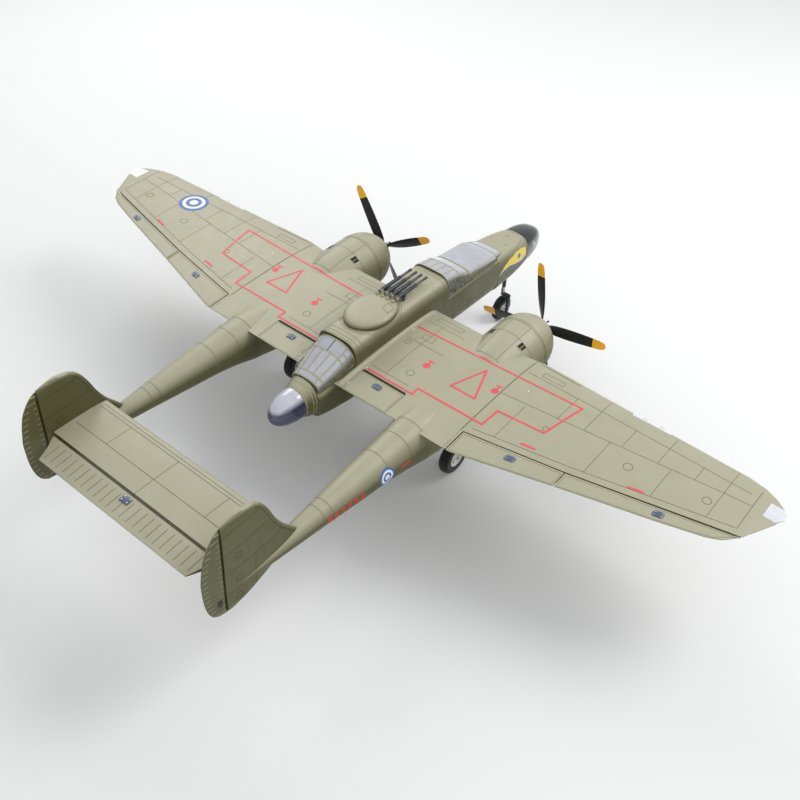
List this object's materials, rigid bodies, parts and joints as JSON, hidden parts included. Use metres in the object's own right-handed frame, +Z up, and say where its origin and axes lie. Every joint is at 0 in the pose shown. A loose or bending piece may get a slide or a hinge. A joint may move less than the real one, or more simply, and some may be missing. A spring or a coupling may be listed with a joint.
{
  "type": "rc warbird plane",
  "caption": "Twin-boom model aeroplane with a central pod, two tractor engines, hinged control surfaces and retracting tricycle gear.",
  "frame": {"origin": "on the ground under the middle of the aeroplane's bounding box, where the wheels touch the floor plane", "axes": "+Z up, nose towards -Y, port wing tip towards +X"},
  "size_m": [1.6, 1.194, 0.355],
  "materials": {
    "olive_foam": "matte",
    "black_radome": "satin",
    "black_plastic": "satin",
    "clear_plastic": "gloss",
    "carbon_tube": "satin",
    "motor_metal": "satin",
    "bright_metal": "satin",
    "shrink_wrap": "satin",
    "horn_plastic": "satin",
    "black_metal": "satin",
    "tyre_foam": "matte",
    "white_plastic": "satin"
  },
  "bodies": {
    "airframe": {"pod_shell": "olive_foam", "nose_cone": "black_radome", "turret_dome": "olive_foam", "turret_guns": "black_plastic", "rear_canopy": "clear_plastic", "tail_cone": "clear_plastic", "center_wing": "olive_foam", "outer_wing_left": "olive_foam", "outer_wing_right": "olive_foam", "main_spar": "carbon_tube", "nacelle_left": "olive_foam", "nacelle_right": "olive_foam", "engine_cowls": "olive_foam", "boom_left": "olive_foam", "boom_right": "olive_foam", "fin_left": "olive_foam", "fin_right": "olive_foam", "stabilizer": "olive_foam", "motor_mounts": "motor_metal", "speed_controls": "shrink_wrap", "battery": "shrink_wrap", "receiver": "black_plastic", "servos": "black_plastic", "wing_lights": "clear_plastic", "retract_units": "bright_metal", "wing_screws": "bright_metal"},
    "hatch": {"battery_hatch": "olive_foam", "pilot_canopy": "clear_plastic", "gunner_canopy": "clear_plastic"},
    "propeller_left": {"propeller_left": "black_plastic", "prop_nut_left": "bright_metal", "motor_bell_left": "motor_metal"},
    "propeller_right": {"propeller_right": "black_plastic", "prop_nut_right": "bright_metal", "motor_bell_right": "motor_metal"},
    "aileron_left": {"aileron_left": "olive_foam", "aileron_horn_left": "horn_plastic"},
    "outer_flap_left": {"outer_flap_left": "olive_foam", "outer_flap_horn_left": "horn_plastic"},
    "inner_flap_left": {"inner_flap_left": "olive_foam", "inner_flap_horn_left": "horn_plastic"},
    "aileron_right": {"aileron_right": "olive_foam", "aileron_horn_right": "horn_plastic"},
    "outer_flap_right": {"outer_flap_right": "olive_foam", "outer_flap_horn_right": "horn_plastic"},
    "inner_flap_right": {"inner_flap_right": "olive_foam", "inner_flap_horn_right": "horn_plastic"},
    "elevator": {"elevator": "olive_foam"},
    "rudder_left": {"rudder_left": "olive_foam"},
    "rudder_right": {"rudder_right": "olive_foam"},
    "nose_leg": {"nose_strut": "black_metal"},
    "nose_steering": {"nose_fork": "black_metal"},
    "nose_wheel": {"nose_tyre": "tyre_foam", "nose_hub": "white_plastic"},
    "main_leg_left": {"main_strut_left": "black_metal"},
    "main_wheel_left": {"main_tyre_left": "tyre_foam", "main_hub_left": "white_plastic"},
    "main_leg_right": {"main_strut_right": "black_metal"},
    "main_wheel_right": {"main_tyre_right": "tyre_foam", "main_hub_right": "white_plastic"}
  },
  "joints": [
    {"name": "hatch_lift", "type": "slide", "parent": "airframe", "child": "hatch", "axis": [0, 0, 1], "range_m": [0, 0.06]},
    {"name": "propeller_spin_left", "type": "hinge", "parent": "airframe", "child": "propeller_left", "pos_m": [0.21, -0.309, 0.196], "axis": [0, -1, 0], "continuous": true},
    {"name": "propeller_spin_right", "type": "hinge", "parent": "airframe", "child": "propeller_right", "pos_m": [-0.21, -0.309, 0.196], "axis": [0, -1, 0], "continuous": true},
    {"name": "aileron_hinge_left", "type": "hinge", "parent": "airframe", "child": "aileron_left", "pos_m": [0.619, 0.00665, 0.236], "axis": [0.9748, -0.223, 0], "range_deg": [-25, 25]},
    {"name": "outer_flap_hinge_left", "type": "hinge", "parent": "airframe", "child": "outer_flap_left", "pos_m": [0.384, 0.0564, 0.2345], "axis": [-0.9834, 0.1817, 0], "range_deg": [0, 40]},
    {"name": "inner_flap_hinge_left", "type": "hinge", "parent": "airframe", "child": "inner_flap_left", "pos_m": [0.108, 0.0674, 0.2295], "axis": [-1, 0, 0], "range_deg": [0, 40]},
    {"name": "aileron_hinge_right", "type": "hinge", "parent": "airframe", "child": "aileron_right", "pos_m": [-0.619, 0.00665, 0.236], "axis": [0.9748, 0.223, 0], "range_deg": [-25, 25]},
    {"name": "outer_flap_hinge_right", "type": "hinge", "parent": "airframe", "child": "outer_flap_right", "pos_m": [-0.384, 0.0564, 0.2345], "axis": [-0.9834, -0.1817, 0], "range_deg": [0, 40]},
    {"name": "inner_flap_hinge_right", "type": "hinge", "parent": "airframe", "child": "inner_flap_right", "pos_m": [-0.108, 0.0674, 0.2295], "axis": [-1, 0, 0], "range_deg": [0, 40]},
    {"name": "elevator_hinge", "type": "hinge", "parent": "airframe", "child": "elevator", "pos_m": [0, 0.5454, 0.251], "axis": [1, 0, 0], "range_deg": [-25, 25]},
    {"name": "rudder_hinge_left", "type": "hinge", "parent": "airframe", "child": "rudder_left", "pos_m": [0.212, 0.55674, 0.237], "axis": [0, -0.0322, 0.9995], "range_deg": [-30, 30]},
    {"name": "rudder_hinge_right", "type": "hinge", "parent": "airframe", "child": "rudder_right", "pos_m": [-0.212, 0.55674, 0.237], "axis": [0, -0.0322, 0.9995], "range_deg": [-30, 30]},
    {"name": "nose_retract", "type": "hinge", "parent": "airframe", "child": "nose_leg", "pos_m": [0, -0.495, 0.169], "axis": [1, 0, 0], "range_deg": [0, 95]},
    {"name": "nose_steer", "type": "hinge", "parent": "nose_leg", "child": "nose_steering", "pos_m": [0, -0.495, 0.097], "axis": [0, 0, 1], "range_deg": [-25, 25]},
    {"name": "nose_wheel_spin", "type": "hinge", "parent": "nose_steering", "child": "nose_wheel", "pos_m": [0, -0.495, 0.031], "axis": [1, 0, 0], "continuous": true},
    {"name": "main_retract_left", "type": "hinge", "parent": "airframe", "child": "main_leg_left", "pos_m": [0.21, -0.031, 0.167], "axis": [1, 0, 0], "range_deg": [0, 95]},
    {"name": "main_wheel_spin_left", "type": "hinge", "parent": "main_leg_left", "child": "main_wheel_left", "pos_m": [0.21, -0.031, 0.038], "axis": [1, 0, 0], "continuous": true},
    {"name": "main_retract_right", "type": "hinge", "parent": "airframe", "child": "main_leg_right", "pos_m": [-0.21, -0.031, 0.167], "axis": [1, 0, 0], "range_deg": [0, 95]},
    {"name": "main_wheel_spin_right", "type": "hinge", "parent": "main_leg_right", "child": "main_wheel_right", "pos_m": [-0.21, -0.031, 0.038], "axis": [1, 0, 0], "continuous": true}
  ],
  "couplings": [
    {"joint": "aileron_hinge_right", "follows": "aileron_hinge_left", "ratio": -1},
    {"joint": "outer_flap_hinge_right", "follows": "outer_flap_hinge_left", "ratio": 1},
    {"joint": "inner_flap_hinge_left", "follows": "outer_flap_hinge_left", "ratio": 1},
    {"joint": "inner_flap_hinge_right", "follows": "outer_flap_hinge_left", "ratio": 1},
    {"joint": "rudder_hinge_right", "follows": "rudder_hinge_left", "ratio": 1},
    {"joint": "main_retract_left", "follows": "nose_retract", "ratio": 1},
    {"joint": "main_retract_right", "follows": "nose_retract", "ratio": 1}
  ]
}
